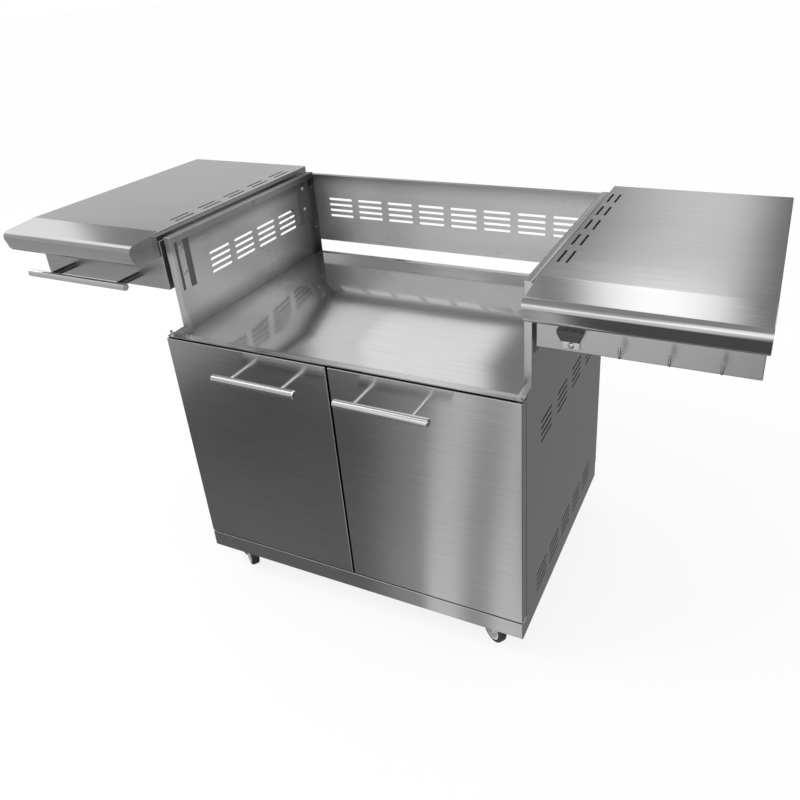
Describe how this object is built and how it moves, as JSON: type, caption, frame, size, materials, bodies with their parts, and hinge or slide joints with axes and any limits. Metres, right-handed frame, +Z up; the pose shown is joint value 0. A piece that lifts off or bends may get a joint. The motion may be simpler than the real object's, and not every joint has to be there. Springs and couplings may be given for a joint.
{
  "type": "grill cart",
  "caption": "Stainless cart for a built-in grill head: open slotted bay above twin hinged doors, folded side shelves with towel rail, tool hooks and cap opener, on swivel casters.",
  "frame": {"origin": "on the floor, under the middle of the cart's box", "axes": "+X to the right when facing the doors, +Y from the doors to the back, +Z up"},
  "size_m": [1.59, 0.68, 0.885],
  "materials": {
    "brushed_steel": "fine level brushing",
    "plain_steel": "mill finish",
    "bar_steel": "bright satin",
    "zinc_steel": "zinc plated",
    "dark_bracket": "black powder coat",
    "dark_cast": "dark cast",
    "black_plastic": "matt moulded",
    "hub_plastic": "pale moulded",
    "black_rubber": "smooth black tread"
  },
  "bodies": {
    "cabinet": {"base_pan": "brushed_steel", "left_side_panel": "brushed_steel", "right_side_panel": "brushed_steel", "rear_upper_panel": "brushed_steel", "rear_lower_panel": "brushed_steel", "bay_tray": "brushed_steel", "front_rail": "brushed_steel", "rear_panel_screws": "zinc_steel", "hinge_pins": "zinc_steel", "magnet_catches": "black_plastic", "left_shelf_top": "brushed_steel", "left_shelf_fascia": "brushed_steel", "left_shelf_brackets": "dark_bracket", "left_shelf_screws": "zinc_steel", "right_shelf_top": "brushed_steel", "right_shelf_fascia": "brushed_steel", "right_shelf_brackets": "dark_bracket", "right_shelf_screws": "zinc_steel", "towel_rail": "bar_steel", "towel_rail_posts": "dark_bracket", "tool_hooks": "bar_steel", "cap_opener": "dark_cast", "opener_screw": "zinc_steel", "caster_kingpins": "zinc_steel", "caster_bolts": "zinc_steel", "front_left_caster_plate": "zinc_steel", "front_right_caster_plate": "zinc_steel", "rear_left_caster_plate": "zinc_steel", "rear_right_caster_plate": "zinc_steel"},
    "left_door": {"left_door_skin": "brushed_steel", "left_door_liner": "plain_steel", "left_door_bushes": "black_plastic", "left_handle_posts": "bar_steel", "left_handle_bar": "bar_steel", "left_handle_screws": "zinc_steel", "left_catch_strike": "zinc_steel"},
    "right_door": {"right_door_skin": "brushed_steel", "right_door_liner": "plain_steel", "right_door_bushes": "black_plastic", "right_handle_posts": "bar_steel", "right_handle_bar": "bar_steel", "right_handle_screws": "zinc_steel", "right_catch_strike": "zinc_steel"},
    "front_left_caster": {"front_left_fork": "zinc_steel", "front_left_axle": "zinc_steel"},
    "front_left_wheel": {"front_left_hub": "hub_plastic", "front_left_tyre": "black_rubber"},
    "front_right_caster": {"front_right_fork": "zinc_steel", "front_right_axle": "zinc_steel"},
    "front_right_wheel": {"front_right_hub": "hub_plastic", "front_right_tyre": "black_rubber"},
    "rear_left_caster": {"rear_left_fork": "zinc_steel", "rear_left_axle": "zinc_steel"},
    "rear_left_wheel": {"rear_left_hub": "hub_plastic", "rear_left_tyre": "black_rubber"},
    "rear_right_caster": {"rear_right_fork": "zinc_steel", "rear_right_axle": "zinc_steel"},
    "rear_right_wheel": {"rear_right_hub": "hub_plastic", "rear_right_tyre": "black_rubber"}
  },
  "joints": [
    {"name": "left_door_hinge", "type": "hinge", "parent": "cabinet", "child": "left_door", "pos_m": [-0.402, -0.268, 0.3885], "axis": [0, 0, -1], "range_deg": [0, 110]},
    {"name": "right_door_hinge", "type": "hinge", "parent": "cabinet", "child": "right_door", "pos_m": [0.402, -0.268, 0.3885], "axis": [0, 0, 1], "range_deg": [0, 110]},
    {"name": "front_left_swivel", "type": "hinge", "parent": "cabinet", "child": "front_left_caster", "pos_m": [-0.334, -0.239, 0.104], "axis": [0, 0, 1], "continuous": true},
    {"name": "front_left_roll", "type": "hinge", "parent": "front_left_caster", "child": "front_left_wheel", "pos_m": [-0.34119, -0.23358, 0.04], "axis": [0.6018, 0.7986, 0], "continuous": true},
    {"name": "front_right_swivel", "type": "hinge", "parent": "cabinet", "child": "front_right_caster", "pos_m": [0.334, -0.239, 0.104], "axis": [0, 0, 1], "continuous": true},
    {"name": "front_right_roll", "type": "hinge", "parent": "front_right_caster", "child": "front_right_wheel", "pos_m": [0.32681, -0.23358, 0.04], "axis": [0.6018, 0.7986, 0], "continuous": true},
    {"name": "rear_left_swivel", "type": "hinge", "parent": "cabinet", "child": "rear_left_caster", "pos_m": [-0.334, 0.293, 0.104], "axis": [0, 0, 1], "continuous": true},
    {"name": "rear_left_roll", "type": "hinge", "parent": "rear_left_caster", "child": "rear_left_wheel", "pos_m": [-0.34119, 0.29842, 0.04], "axis": [0.6018, 0.7986, 0], "continuous": true},
    {"name": "rear_right_swivel", "type": "hinge", "parent": "cabinet", "child": "rear_right_caster", "pos_m": [0.334, 0.293, 0.104], "axis": [0, 0, 1], "continuous": true},
    {"name": "rear_right_roll", "type": "hinge", "parent": "rear_right_caster", "child": "rear_right_wheel", "pos_m": [0.32681, 0.29842, 0.04], "axis": [0.6018, 0.7986, 0], "continuous": true}
  ]
}
